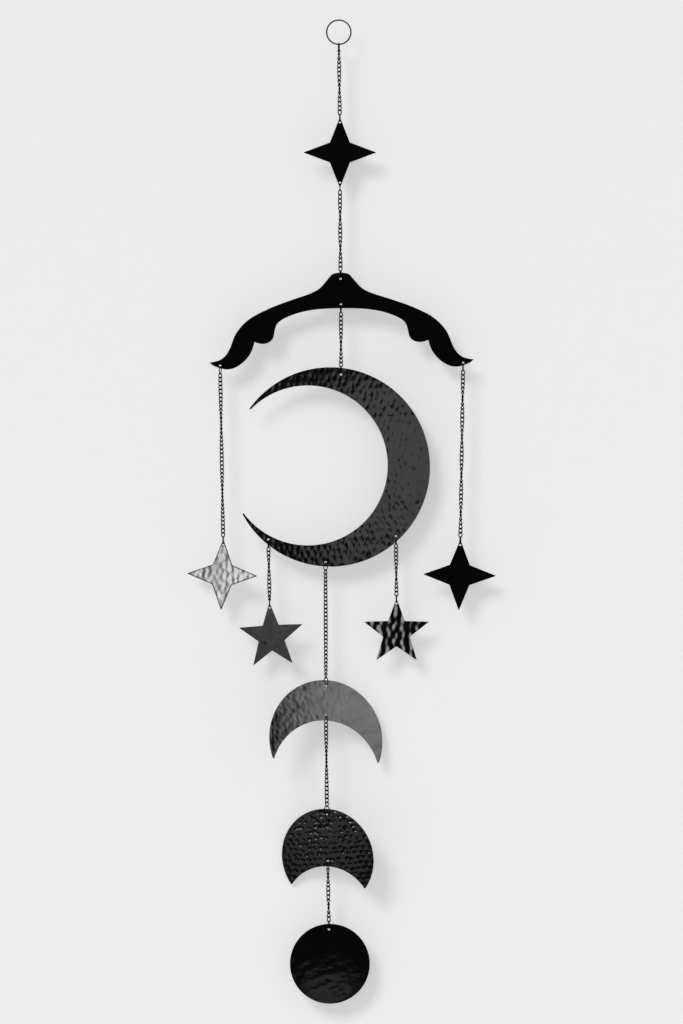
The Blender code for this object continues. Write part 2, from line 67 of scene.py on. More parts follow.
# Jump rings and chain links: WIRE_RADIUS spaces them as the solids are spaced, and the wire that
# is seen is thicker
WIRE_RADIUS = 0.4 * MM
JUMP_RING_OUTER_RADIUS = 4.25 * MM
JUMP_RING_WIRE_RADIUS = 0.5 * MM
JUMP_RING_GAP = 0.14 * MM
JUMP_RING_MISS = 0.12 * MM
LINK_HALF_WIDTH = 2.1 * MM
LINK_WIRE_RADIUS = 0.56 * MM
LINK_CROSSING = math.radians(62)
LINK_END_SWING = math.radians(38)
HOLE_CLEARANCE = 0.2 * MM
LINK_CLEARANCE = 0.05 * MM

# Stars
FOUR_STAR_HEIGHT = 70.0 * MM
FOUR_STAR_WIDTH = 72.0 * MM
FOUR_STAR_WAIST = 10.0 * MM
FIVE_STAR_RADIUS = 33.8 * MM
FIVE_STAR_INNER_RADIUS = 14.0 * MM
STAR_TIP_RADIUS = 0.4 * MM
STAR_HOLLOW_RADIUS = 1.6 * MM

# Arch
ARCH_SPAN = 264.2 * MM
ARCH_HEIGHT = 95.9 * MM
ARCH_TOP_HOLE_MARGIN = 6.5 * MM
ARCH_MIDDLE_HOLE_MARGIN = 3.8 * MM
ARCH_ARM_HOLE_MARGIN = 2.4 * MM
ARCH_ARM_HOLE_INSET = 9.9 * MM

# Moons: radius, widest part, and how far the bite runs past the rim
CRESCENT = (99.7 * MM, 42.4 * MM, 2.8 * MM)
CRESCENT_OPENING = math.radians(176.2)
CRESCENT_TOP_HOLE_BEARING = math.radians(83.4)
CRESCENT_TOP_HOLE_MARGIN = 6.5 * MM
CRESCENT_LOWER_HOLE_MARGIN = 4.2 * MM
CRESCENT_LOWER_HOLE_BEARINGS = {
    "left": math.radians(229.5),
    "middle": math.radians(267.1),
    "right": math.radians(313.4),
}
HALF_MOON = (59.9 * MM, 40.7 * MM, 35.5 * MM)
GIBBOUS_MOON = (49.5 * MM, 58.5 * MM, 55.9 * MM)
FULL_MOON_RADIUS = 40.0 * MM
FULL_MOON_INSET = 0.05 * MM
MOON_TIP_RADIUS = 0.8 * MM

# Fineness of the outlines and rings
CORNER_STEPS = 6
ARC_STEP = 1.2 * MM
HOLE_STEPS = 20
RING_STEPS = 96
JUMP_RING_STEPS = 44

# Faces that meet at more than these angles, in degrees, keep a sharp corner between them
PLATE_SHARP_FROM = 30
WIRE_SHARP_FROM = 60

# Each chain: links, distance from one to the next, lean, facing of the first link, turn from one
# link to the next, and how far its two jump rings are turned from square to their plates
CHAINS = {
    "chain_top": (15, 4.287 * MM, 0.8, 90, 21.0, (8, 5)),
    "chain_arch": (19, 4.237 * MM, 0.4, -46, 23.7, (0, 8)),
    "chain_crescent": (13, 4.185 * MM, 0.1, -42, 17.6, (8, 4)),
    "chain_left_star": (41, 3.983 * MM, 1.0, -37, 10.3, (14, 10)),
    "chain_right_star": (39, 4.269 * MM, -0.9, -30, 20.0, (4, 8)),
    "chain_left_small_star": (13, 4.040 * MM, 1.2, 10, 19.4, (6, 12)),
    "chain_right_small_star": (13, 3.960 * MM, 0.5, -36, 17.3, (6, 4)),
    "chain_half_moon": (28, 3.843 * MM, 0.2, -50, 3.9, (28, 10)),
    "chain_gibbous_moon": (21, 3.962 * MM, 0.6, 0, 10.4, (4, -16)),
    "chain_full_moon": (12, 4.367 * MM, 1.0, 64, 25.2, (6, 10)),
}

# What each chain hangs from and carries: piece, hole in it, piece below
HANGS = {
    "chain_top": (None, None, "top_star"),
    "chain_arch": ("top_star", "bottom", "arch"),
    "chain_crescent": ("arch", "middle", "crescent_moon"),
    "chain_left_star": ("arch", "left", "left_star"),
    "chain_right_star": ("arch", "right", "right_star"),
    "chain_left_small_star": ("crescent_moon", "left", "left_small_star"),
    "chain_right_small_star": ("crescent_moon", "right", "right_small_star"),
    "chain_half_moon": ("crescent_moon", "middle", "half_moon"),
    "chain_gibbous_moon": ("half_moon", "bottom", "gibbous_moon"),
    "chain_full_moon": ("gibbous_moon", "bottom", "full_moon"),
}

# Each plate: roll in its own plane, turn out of it, and lean of the line that it turns about
PLATE_POSES = {
    "top_star": (0.0, 0.0, 0.0),
    "arch": (0.7, 0.0, 0.0),
    "crescent_moon": (0.0, 0.0, 0.0),
    "left_star": (-2.0, 14.8, 0.0),
    "right_star": (-1.3, 0.0, 0.0),
    "left_small_star": (3.4, 13.4, 0.0),
    "right_small_star": (0.0, 0.0, 0.0),
    "half_moon": (-1.5, -21.6, 23.6),
    "gibbous_moon": (-0.6, 23.6, 19.6),
    "full_moon": (1.5, 0.0, 0.0),
}

RING_RADIUS = RING_OUTER_RADIUS - RING_WIRE_RADIUS
RING_INNER_RADIUS = RING_OUTER_RADIUS - 2 * RING_WIRE_RADIUS
JUMP_RING_RADIUS = JUMP_RING_OUTER_RADIUS - WIRE_RADIUS
HOLE_SEAT = HOLE_RADIUS - WIRE_RADIUS - HOLE_CLEARANCE
LINK_SEAT = 2 * WIRE_RADIUS + LINK_CLEARANCE
RING_REACH = HOLE_SEAT + 2 * JUMP_RING_RADIUS - LINK_SEAT

# The arch's left half, as shares of half its span and of its height below the crown
ARCH_UPPER_EDGE = (
    (0, 0), (0.063, 0.021), (0.098, 0.073), (0.162, 0.168), (0.226, 0.215),
    (0.381, 0.287), (0.542, 0.369), (0.704, 0.487), (0.797, 0.626), (0.847, 0.788),
    (0.876, 0.851), (0.911, 0.893), (0.953, 0.914), (1, 0.926),
)
ARCH_UNDERSIDE = (
    (1, 0.926), (0.975, 0.955), (0.926, 0.984), (0.87, 1), (0.821, 0.99),
    (0.764, 0.949), (0.715, 0.887), (0.679, 0.81), (0.657, 0.718),
)
ARCH_LOBE = (
    (0.657, 0.718), (0.622, 0.734), (0.588, 0.738), (0.553, 0.726), (0.52, 0.688),
    (0.507, 0.631),
)
ARCH_INNER_EDGE = (
    (0.507, 0.631), (0.498, 0.572), (0.48, 0.525), (0.438, 0.482), (0.367, 0.44),
    (0.283, 0.407), (0.192, 0.387), (0.087, 0.378), (0, 0.376),
)


def rounded_outline(corners):
    """Closed outline through corners given as (point, radius), each rounded by an arc."""
    outline = []
    for i, (corner, radius) in enumerate(corners):
        before = (corners[i - 1][0] - corner).normalized()
        after = (corners[(i + 1) % len(corners)][0] - corner).normalized()
        half_angle = before.angle(after) / 2
        reach = radius / math.tan(half_angle)
        centre = corner + (before + after).normalized() * radius / math.sin(half_angle)
        start = corner + before * reach - centre
        sweep = math.pi - 2 * half_angle
        if before.x * after.y - before.y * after.x > 0:
            sweep = -sweep
        for step in range(CORNER_STEPS + 1):
            outline.append(centre + Matrix.Rotation(sweep * step / CORNER_STEPS, 2) @ start)
    return outline


def star_outline(points, tips, inner, first_bearing):
    """Star whose tips reach the given distances, with its inner corners at a fixed distance."""
    corners = []
    step = math.pi / points
    across, along = inner * math.sin(step), inner * math.cos(step)
    for i in range(points):
        bearing = first_bearing + 2 * step * i
        half_angle = math.atan(across / (tips[i % len(tips)] - along))
        reach = tips[i % len(tips)] + STAR_TIP_RADIUS * (1 / math.sin(half_angle) - 1)
        corners.append((Vector((math.cos(bearing), math.sin(bearing))) * reach, STAR_TIP_RADIUS))
        side = bearing + step
        corners.append((Vector((math.cos(side), math.sin(side))) * inner, STAR_HOLLOW_RADIUS))
    return rounded_outline(corners)


def arc_points(centre, radius, start, end):
    """Points on an arc from bearing start to bearing end, both ends included."""
    steps = max(6, math.ceil(abs(end - start) * radius / ARC_STEP))
    bearings = [start + (end - start) * i / steps for i in range(steps + 1)]
    return [centre + Vector((math.cos(b), math.sin(b))) * radius for b in bearings]


def moon_outline(radius, width, overrun, opening):
    """Disc with a round bite taken out towards the bearing opening, with rounded horn tips."""
    bite_radius, bite_offset = radius - (width - overrun) / 2, (width + overrun) / 2
    tip = MOON_TIP_RADIUS
    along = ((radius - tip) ** 2 - (bite_radius + tip) ** 2 + bite_offset ** 2) / (2 * bite_offset)
    across = math.sqrt((radius - tip) ** 2 - along ** 2)
    horn = math.atan2(across, along)
    bite_horn = math.atan2(across, along - bite_offset)
    inner_side = math.atan2(across, bite_offset - along)
    full = 2 * math.pi
    middle, bite = Vector((0, 0)), Vector((bite_offset, 0))
    first_tip, last_tip = Vector((along, -across)), Vector((along, across))
    outline = arc_points(middle, radius, horn, full - horn)
    outline += arc_points(first_tip, tip, -horn, inner_side)[1:]
    outline += arc_points(bite, bite_radius, full - bite_horn, bite_horn)[1:]
    outline += arc_points(last_tip, tip, -inner_side, horn)[1:-1]
    turn = Matrix.Rotation(opening, 2)
    return [turn @ point for point in outline]


def smooth_line(anchors, steps):
    """Points on a centripetal Catmull-Rom curve through the anchors, both ends included."""
    ends = [2 * anchors[0] - anchors[1]] + anchors + [2 * anchors[-1] - anchors[-2]]
    line = [anchors[0]]
    for p0, p1, p2, p3 in zip(ends, ends[1:], ends[2:], ends[3:]):
        t0 = 0.0
        t1 = t0 + math.sqrt((p1 - p0).length)
        t2 = t1 + math.sqrt((p2 - p1).length)
        t3 = t2 + math.sqrt((p3 - p2).length)
        for step in range(1, steps + 1):
            t = t1 + (t2 - t1) * step / steps
            a1 = p0.lerp(p1, (t - t0) / (t1 - t0))
            a2 = p1.lerp(p2, (t - t1) / (t2 - t1))
            a3 = p2.lerp(p3, (t - t2) / (t3 - t2))
            b1 = a1.lerp(a2, (t - t0) / (t2 - t0))
            b2 = a2.lerp(a3, (t - t1) / (t3 - t1))
            line.append(b1.lerp(b2, (t - t1) / (t2 - t1)))
    return line


def arch_edge(shares, steps=6):
    """Smooth line through points of the arch's left half given as shares of its size."""
    anchors = [Vector((-x * ARCH_SPAN / 2, -z * ARCH_HEIGHT)) for x, z in shares]
    return smooth_line(anchors, steps)


def arch_outline():
    """Arch with its crown at the origin: left half from the crown down, then its mirror."""
    left = arch_edge(ARCH_UPPER_EDGE)
    for shares in (ARCH_UNDERSIDE, ARCH_LOBE, ARCH_INNER_EDGE):
        left += arch_edge(shares)[1:]
    right = [Vector((-point.x, point.y)) for point in reversed(left[1:-1])]
    return left + right


def arch_holes():
    """Crown, middle and arm holes, each set in from the edge that it is nearest to."""
    underside = arch_edge(ARCH_UNDERSIDE, 4)
    arm_x = -ARCH_SPAN / 2 + ARCH_ARM_HOLE_INSET
    for start, end in zip(underside, underside[1:]):
        if start.x <= arm_x <= end.x:
            on_edge = start.lerp(end, (arm_x - start.x) / (end.x - start.x))
            inward = Vector((start.y - end.y, end.x - start.x)).normalized()
    arm = on_edge + inward * ARCH_ARM_HOLE_MARGIN
    middle_drop = ARCH_INNER_EDGE[-1][1] * ARCH_HEIGHT
    return {
        "top": Vector((0, -ARCH_TOP_HOLE_MARGIN)),
        "middle": Vector((0, -middle_drop + ARCH_MIDDLE_HOLE_MARGIN)),
        "left": arm,
        "right": Vector((-arm.x, arm.y)),
    }


def crescent_holes():
    """One hole under the upper rim and three over the lower rim."""
    def hole(bearing, margin):
        return Vector((math.cos(bearing), math.sin(bearing))) * (CRESCENT[0] - margin)

    holes = {"top": hole(CRESCENT_TOP_HOLE_BEARING, CRESCENT_TOP_HOLE_MARGIN)}
    for name, bearing in CRESCENT_LOWER_HOLE_BEARINGS.items():
        holes[name] = hole(bearing, CRESCENT_LOWER_HOLE_MARGIN)
    return holes


def moon_holes(radius, width):
    """One hole under the top of the disc and one over the top of the bite."""
    return {
        "top": Vector((0, radius - ROUND_PLATE_HOLE_MARGIN)),
        "bottom": Vector((0, radius - width + ROUND_PLATE_HOLE_MARGIN)),
    }


def plate_shapes():
    """Outline and named holes of every plate, in its own flat frame."""
    up, down = math.pi / 2, -math.pi / 2
    four_top = FOUR_STAR_HEIGHT / 2 - STAR_HOLE_MARGIN
    four_tips = (FOUR_STAR_HEIGHT / 2, FOUR_STAR_WIDTH / 2)
    four = star_outline(4, four_tips, FOUR_STAR_WAIST * math.sqrt(2), up)
    five = star_outline(5, (FIVE_STAR_RADIUS,), FIVE_STAR_INNER_RADIUS, up)
    four_holes = {"top": Vector((0, four_top))}
    five_holes = {"top": Vector((0, FIVE_STAR_RADIUS - STAR_HOLE_MARGIN))}
    full = arc_points(Vector((0, 0)), FULL_MOON_RADIUS - FULL_MOON_INSET, 0, 2 * math.pi)[:-1]
    full_holes = {"top": Vector((0, FULL_MOON_RADIUS - ROUND_PLATE_HOLE_MARGIN))}
    return {
        "top_star": (four, four_holes | {"bottom": Vector((0, -four_top))}),
        "arch": (arch_outline(), arch_holes()),
        "crescent_moon": (moon_outline(*CRESCENT, CRESCENT_OPENING), crescent_holes()),
        "left_star": (four, four_holes),
        "right_star": (four, four_holes),
        "left_small_star": (five, five_holes),
        "right_small_star": (five, five_holes),
        "half_moon": (moon_outline(*HALF_MOON, down), moon_holes(*HALF_MOON[:2])),
        "gibbous_moon": (moon_outline(*GIBBOUS_MOON, down), moon_holes(*GIBBOUS_MOON[:2])),
        "full_moon": (full, full_holes),
    }


def hang_direction(lean):
    """Direction down a line that leans by the given degrees."""
    lean = math.radians(lean)
    return Vector((math.sin(lean), 0, -math.cos(lean)))


def plate_rotation(name):
    """Roll in the plate's plane, then turn about a line in it that leans from the vertical."""
    roll, turn, lean = PLATE_POSES[name]
    turned = Matrix.Rotation(math.radians(turn), 4, hang_direction(lean))
    return turned @ Matrix.Rotation(-math.radians(roll), 4, "Y")


def hang_layout(shapes):
    """Where everything hangs: a matrix for each plate, and each chain's ends and sides."""
    plates, chains = {}, {}
    rise = WIRE_RADIUS + HOLE_CLEARANCE + HOLE_SEAT
    for name, (above, hole_name, below) in HANGS.items():
        count, step, lean = CHAINS[name][:3]
        if above is None:
            upper = Vector((0, 0, -2 * RING_INNER_RADIUS + rise))
            upper_side = Vector((1, 0, 0))
        else:
            holes = shapes[above][1]
            offset = holes[hole_name] - holes["top"]
            upper = plates[above] @ Vector((offset.x, 0, offset.y))
            upper_side = plates[above].col[0].xyz
        down = hang_direction(lean)
        lower = upper + down * (2 * RING_REACH + count * step + 2 * WIRE_RADIUS)
        plates[below] = Matrix.Translation(lower) @ plate_rotation(below)
        chains[name] = (upper, lower, down, (upper_side, plates[below].col[0].xyz))
    return plates, chains


SHAPES = plate_shapes()
PLATE_PLACES, CHAIN_PLACES = hang_layout(SHAPES)


def resampled(outline, spacing):
    """The outline with its long straight sides cut into steps no longer than spacing."""
    points = []
    for start, end in zip(outline, outline[1:] + outline[:1]):
        steps = max(1, math.ceil((end - start).length / spacing))
        points += [start.lerp(end, i / steps) for i in range(steps)]
    return np.array([(p.x, p.y) for p in points])


def inside(points, loop):
    """Which points lie inside a closed loop."""
    x, y = points[:, :1], points[:, 1:]
    x0, y0 = loop[:, 0], loop[:, 1]
    x1, y1 = np.roll(x0, -1), np.roll(y0, -1)
    spans = (y0 > y) != (y1 > y)
    crossing = x0 + (y - y0) * (x1 - x0) / np.where(y1 == y0, 1, y1 - y0)
    return (np.logical_and(spans, x < crossing).sum(1) % 2) == 1


def distance_to(points, loop):
    """Distance from each point to a closed loop."""
    side = np.roll(loop, -1, 0) - loop
    nearest = []
    for block in np.split(points, range(4000, len(points), 4000)):
        part = block[:, None, :] - loop[None]
        share = np.clip((part * side).sum(2) / (side * side).sum(1), 0, 1)
        gap = part - share[..., None] * side
        nearest.append(np.sqrt((gap * gap).sum(2)).min(1))
    return np.concatenate(nearest)


def hammer_blows(x, z, blows, seed):
    """How deep each point lies in the soft blows and placed dents around it, as a share."""
    rows = 64
    dice = np.random.RandomState(seed).rand(rows, rows, 4)
    pitch_x, pitch_z = blows["pitch"][0] * MM, blows["pitch"][1] * MM
    size_x, size_z = blows["size"][0] * MM, blows["size"][1] * MM
    slant, lean = blows.get("slant", 0.0), blows.get("lean", 0.0)
    u = x / pitch_x
    v = z / pitch_z - slant * u
    row = np.floor(v).astype(int)
    total = np.zeros(x.shape)
    for dj in (-1, 0, 1):
        j = row + dj
        shift = blows.get("brick", 0.5) * (j % 2)
        column = np.floor(u - shift).astype(int)
        for di in (-1, 0, 1):
            i = column + di
            throw = dice[j % rows, i % rows]
            cu = i + 0.5 + shift + (throw[..., 0] - 0.5) * blows["jitter"]
            cv = j + 0.5 + (throw[..., 1] - 0.5) * blows["jitter"]
            du = (u - cu) * pitch_x
            dv = (v - cv + slant * (u - cu)) * pitch_z
            du = du - dv * (lean + (throw[..., 3] - 0.5) * blows.get("twist", 0.5))
            weight = 1 - blows.get("luck", 0.6) * throw[..., 2]
            total += weight * np.exp(-0.5 * ((du / size_x) ** 2 + (dv / size_z) ** 2))
    for dent_x, dent_z, length, width, tilt, strength in blows.get("dents", ()):
        du, dv = x / MM - dent_x, z / MM - dent_z
        along = du * math.cos(tilt) + dv * math.sin(tilt)
        across = dv * math.cos(tilt) - du * math.sin(tilt)
        total += strength * np.exp(-0.5 * ((along / length) ** 2 + (across / width) ** 2))
    return total


def slow_waves(x, z, length, seed, count=7):
    """Gentle unevenness of the sheet, from 0 to 1."""
    dice = np.random.RandomState(seed)
    total = np.zeros(x.shape)
    for _ in range(count):
        bearing, phase = dice.rand(2) * 2 * math.pi
        wave = 2 * math.pi / (length * (0.7 + 0.8 * dice.rand()))
        total += np.sin(wave * (x * math.cos(bearing) + z * math.sin(bearing)) + phase)
    return 0.5 + 0.4 * np.clip(total / math.sqrt(count), -1.25, 1.25)


def hammered_relief(x, z, blows, seed):
    """Depth of the hammered face below its highest level, in metres."""
    swell, swell_length = blows["swell"]
    ripple, ripple_length = blows.get("ripple", (0, 1))
    relief = blows["depth"] * hammer_blows(x, z, blows, seed)
    relief += swell * slow_waves(x, z, swell_length * MM, seed + 9)
    relief += ripple * slow_waves(x, z, ripple_length * MM, seed + 5, 11)
    return relief * MM


def plate_faces(name, spacing):
    """Flat triangulation of a plate: points, triangles, loops of rim points, distance to edge."""
    outline, holes = SHAPES[name]
    origin = holes["top"]
    loops = [resampled(outline, spacing * 1.2)]
    for hole in holes.values():
        circle = [
            hole + Vector((math.cos(a), math.sin(a))) * HOLE_RADIUS
            for a in (2 * math.pi * i / HOLE_STEPS for i in range(HOLE_STEPS))
        ]
        loops.append(np.array([(p.x, p.y) for p in circle]))
    low, high = loops[0].min(0), loops[0].max(0)
    columns = np.arange(low[0], high[0], spacing)
    rows = np.arange(low[1], high[1], spacing * 0.87)
    grid_x, grid_z = np.meshgrid(columns, rows)
    grid_x = grid_x + (np.arange(len(rows)) % 2)[:, None] * spacing / 2
    grid = np.stack([grid_x.ravel(), grid_z.ravel()], 1)
    grid = grid[inside(grid, loops[0])]
    grid = grid[distance_to(grid, loops[0]) > spacing * 0.55]
    for loop in loops[1:]:
        middle = loop.mean(0)
        grid = grid[np.hypot(*(grid - middle).T) > HOLE_RADIUS + spacing * 0.4]
    points, edges, starts = [], [], []
    for loop in loops:
        first = len(points)
        starts.append(first)
        points += [Vector(p) for p in loop]
        edges += [(first + i, first + (i + 1) % len(loop)) for i in range(len(loop))]
    points += [Vector(p) for p in grid]
    verts, _, faces, orig, _, _ = delaunay_2d_cdt(points, edges, [], 1, 1e-7)
    place = {source: i for i, sources in enumerate(orig) for source in sources}
    flat = np.array([(v.x, v.y) for v in verts])
    faces = np.array([f for f in faces if len(f) == 3])
    centres = flat[faces].mean(1)
    keep = np.ones(len(faces), bool)
    for loop in loops[1:]:
        middle = loop.mean(0)
        keep &= np.hypot(*(centres - middle).T) > HOLE_RADIUS * 0.99
    faces = faces[keep]
    a, b, c = flat[faces[:, 0]], flat[faces[:, 1]], flat[faces[:, 2]]
    turn = (b[:, 0] - a[:, 0]) * (c[:, 1] - a[:, 1]) - (b[:, 1] - a[:, 1]) * (c[:, 0] - a[:, 0])
    faces[turn < 0] = faces[turn < 0][:, ::-1]
    rims = [[place[start + i] for i in range(len(loop))] for start, loop in zip(starts, loops)]
    to_edge = np.minimum.reduce([distance_to(flat, loop) for loop in loops])
    return flat - np.array((origin.x, origin.y)), faces, rims, to_edge


def rim_inset(flat, rims, width):
    """The flat points, with those on a rim moved into the sheet by width."""
    moved = flat.copy()
    for rim in rims:
        loop = flat[rim]
        along = np.roll(loop, -1, 0) - np.roll(loop, 1, 0)
        along /= np.linalg.norm(along, axis=1)[:, None]
        inward = np.stack([-along[:, 1], along[:, 0]], 1)
        within = inside(loop + inward * 0.1 * MM, loop).mean() > 0.5
        if within != (rim is rims[0]):
            inward = -inward
        moved[rim] = loop + inward * width
    return moved


def plate_piece(name, settings):
    """Sheet-metal plate with hammered faces, rounded rims and its holes."""
    blows = BLOWS[name]
    flat, faces, rims, to_edge = plate_faces(name, settings.mesh_step * blows.get("fineness", 1.0))
    relief = hammered_relief(flat[:, 0], flat[:, 1], blows, SEEDS[name])
    count = len(flat)
    round_off = settings.edge_round
    front = -SHEET / 2 + relief
    back = front + SHEET - relief.max()
    inset = rim_inset(flat, rims, round_off)
    coordinates = [np.stack([inset[:, 0], side, inset[:, 1]], 1) for side in (front, back)]
    polygons = [tuple(f) for f in faces] + [tuple(count + i for i in f[::-1]) for f in faces]
    base = 2 * count
    for rim in rims:
        loop = flat[rim]
        size = len(rim)
        for level in (front[rim] + round_off, back[rim] - round_off):
            coordinates.append(np.stack([loop[:, 0], level, loop[:, 1]], 1))
        near_front, near_back = range(base, base + size), range(base + size, base + 2 * size)
        strips = (rim, near_front, near_back, [count + i for i in rim])
        for near, far in zip(strips, strips[1:]):
            for i in range(size):
                j = (i + 1) % size
                polygons.append((near[i], far[i], far[j], near[j]))
        base += 2 * size
    piece = mesh_object(name + "_sheet", np.concatenate(coordinates), polygons, PLATE_SHARP_FROM)
    near_edge = np.clip((1.3 * MM - to_edge) / (0.7 * MM), 0, 1)
    near_edge = np.concatenate([near_edge, near_edge, np.full(base - 2 * count, 1.0)])
    edge = piece.data.attributes.new("edge", "FLOAT", "POINT")
    edge.data.foreach_set("value", near_edge.astype(np.float32))
    piece.data.transform(PLATE_PLACES[name])
    return piece


def new_object(name, data):
    """Object of a mesh, light or camera, linked to the scene."""
    made = bpy.data.objects.new(name, data)
    bpy.context.scene.collection.objects.link(made)
    return made


def mesh_object(name, points, faces, sharp_from):
    """Smooth-shaded object whose faces all look outwards, with its sharp corners kept."""
    mesh = bpy.data.meshes.new(name)
    mesh.from_pydata(points.tolist(), [], faces)
    bm = bmesh.new()
    bm.from_mesh(mesh)
    bmesh.ops.recalc_face_normals(bm, faces=bm.faces)
    bm.to_mesh(mesh)
    bm.free()
    mesh.shade_smooth()
    mesh.set_sharp_from_angle(angle=math.radians(sharp_from))
    return new_object(name, mesh)


def tube(path, radius, sides, closed, normal_hint):
    """Points and faces of a round wire along a path; an open one has capped, eased ends."""
    path = np.asarray(path)
    count = len(path)
    if closed:
        along = np.roll(path, -1, 0) - np.roll(path, 1, 0)
    else:
        along = np.gradient(path, axis=0)
    along /= np.linalg.norm(along, axis=1)[:, None]
    hint = np.asarray(normal_hint)
    first = hint - along * (along * hint).sum(1)[:, None]
    first /= np.linalg.norm(first, axis=1)[:, None]
    second = np.cross(along, first)
    around = 2 * np.pi * np.arange(sides) / sides
    ring = (
        first[:, None] * np.cos(around)[None, :, None]
        + second[:, None] * np.sin(around)[None, :, None]
    )
    points = path[:, None] + ring * radius
    faces = []
    for i in range(count if closed else count - 1):
        k = (i + 1) % count
        for j in range(sides):
            m = (j + 1) % sides
            faces.append((i * sides + j, i * sides + m, k * sides + m, k * sides + j))
    points = points.reshape(-1, 3)
    if not closed:
        for end, outward in ((0, -1), (count - 1, 1)):
            start = len(points)
            eased = path[end] + along[end] * outward * radius * 0.12 + ring[end] * radius * 0.88
            points = np.concatenate([points, eased])
            for j in range(sides):
                m = (j + 1) % sides
                quad = (end * sides + j, end * sides + m, start + m, start + j)
                faces.append(quad[::-1] if end else quad)
            cap = tuple(range(start, start + sides))
            faces.append(cap if end else cap[::-1])
    return points, faces


def wire_object(name, parts):
    """One object from several tubes given as (points, faces)."""
    faces, base = [], 0
    for part_points, part_faces in parts:
        faces += [tuple(base + i for i in face) for face in part_faces]
        base += len(part_points)
    return mesh_object(name, np.concatenate([part[0] for part in parts]), faces, WIRE_SHARP_FROM)


def link_path(half_length, half_width, upper_spin, lower_spin, steps):
    """Closed centreline of one oval link, twisted evenly from its upper to its lower spin."""
    straight = half_length - half_width
    half_way = 2 * straight + math.pi * half_width
    path = []
    for i in range(steps):
        half, s = divmod(2 * half_way * i / steps, half_way)
        x, z = half_width, s - straight
        if s >= 2 * straight:
            a = (s - 2 * straight) / half_width
            x, z = half_width * math.cos(a), straight + half_width * math.sin(a)
        if half:
            x, z = -x, -z
        share = (z + half_length) / (2 * half_length)
        share = share * share * (3 - 2 * share)
        spin = lower_spin + (upper_spin - lower_spin) * share
        path.append((x * math.cos(spin), x * math.sin(spin), z))
    return np.array(path)


def near_square(spin, ring_spin):
    """The nearest spin to the one given at which a link's end passes freely through a ring."""
    off = (spin - ring_spin + math.pi / 2) % math.pi - math.pi / 2
    return spin - off + max(-LINK_END_SWING, min(LINK_END_SWING, off))


def chain_piece(name, settings):
    """One chain of twisted oval links, each passing through the next."""
    count, step, lean, facing, turn, ring_turns = CHAINS[name]
    upper, _, down, sides = CHAIN_PLACES[name]
    ring_spins = [
        math.atan2(side.y, side.x) + math.radians(ring_turn)
        for side, ring_turn in zip(sides, ring_turns)
    ]
    half_length = step / 2 + LINK_WIRE_RADIUS
    half_width = LINK_HALF_WIDTH - LINK_WIRE_RADIUS
    twist = math.radians(turn) + LINK_CROSSING
    place = Matrix.Translation(upper + down * RING_REACH)
    place = place @ Matrix.Rotation(math.radians(-lean), 4, "Y")
    top = step / 2 + WIRE_RADIUS
    parts = []
    for i in range(count):
        middle = -math.radians(facing + turn * i)
        upper_spin, lower_spin = middle + twist / 2, middle - twist / 2
        if i == 0:
            upper_spin = near_square(upper_spin, ring_spins[0])
        if i == count - 1:
            lower_spin = near_square(lower_spin, ring_spins[1])
        path = link_path(half_length, half_width, upper_spin, lower_spin, settings.link_steps)
        points, faces = tube(path, LINK_WIRE_RADIUS, settings.wire_sides, True, path)
        parts.append((points + np.array((0, 0, -(top + i * step))), faces))
    piece = wire_object(name + "_links", parts)
    piece.data.transform(place)
    return piece


def split_ring(name, radius, wire, steps, sides, joint, gap, offset):
    """Wire ring in the XZ plane whose ends meet at the bearing joint, out of line by offset."""
    half = gap / radius / 2
    bearings = np.linspace(joint + half, joint + 2 * math.pi - half, steps)
    drift = np.linspace(-offset / 2, offset / 2, steps)
    path = np.stack([np.cos(bearings) * radius, drift, np.sin(bearings) * radius], 1)
    return wire_object(name, [tube(path, wire, sides, False, path * 0 + (0.0, 1.0, 0.0))])


def jump_ring_piece(chain, end, node, settings):
    """Jump ring at the upper or lower end of a chain."""
    upper, lower, down, sides = CHAIN_PLACES[chain]
    up, side = -down, sides[end]
    turn = math.radians(CHAINS[chain][5][end])
    axis = Matrix.Rotation(turn, 3, up) @ (side - up * side.dot(up)).normalized()
    rotation = Matrix((up.cross(axis), -axis, up)).transposed()
    drop = HOLE_SEAT + JUMP_RING_RADIUS
    centre = upper + down * drop if end == 0 else lower - down * drop
    scatter = (len(chain) * 7 + end * 5) % 5 - 2
    joint = math.radians(205 + 37 * scatter)
    piece = split_ring(
        node + "_wire", JUMP_RING_RADIUS, JUMP_RING_WIRE_RADIUS, JUMP_RING_STEPS,
        settings.wire_sides, joint, JUMP_RING_GAP, JUMP_RING_MISS,
    )
    piece.data.transform(Matrix.Translation(centre) @ rotation.to_4x4())
    return piece


def finish_piece(piece, node, finish):
    """Give a piece its material and body, in place of the solid in node."""
    piece.data.materials.append(material_named(finish))
    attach(piece, "root")
    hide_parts(node)


def new_group(name, inputs, colours_out, values_out):
    """Shader node group with its sockets; gives the group and its two end nodes."""
    group = bpy.data.node_groups.new(name, "ShaderNodeTree")
    for label, value in inputs.items():
        kind = "NodeSocketColor" if isinstance(value, tuple) else "NodeSocketFloat"
        socket = group.interface.new_socket(name=label, in_out="INPUT", socket_type=kind)
        socket.default_value = value
    for kind, labels in (("NodeSocketColor", colours_out), ("NodeSocketFloat", values_out)):
        for label in labels:
            group.interface.new_socket(name=label, in_out="OUTPUT", socket_type=kind)
    return group, group.nodes.new("NodeGroupInput"), group.nodes.new("NodeGroupOutput")


def set_inputs(node, values):
    """Set a node's sockets to values given by the sockets' names."""
    for name, value in values.items():
        node.inputs[name].default_value = value


def join(tree, *joints):
    """Link nodes; each joint is a node, its output, the next node and its input."""
    for source, output, target, entry in joints:
        tree.links.new(source.outputs[output], target.inputs[entry])


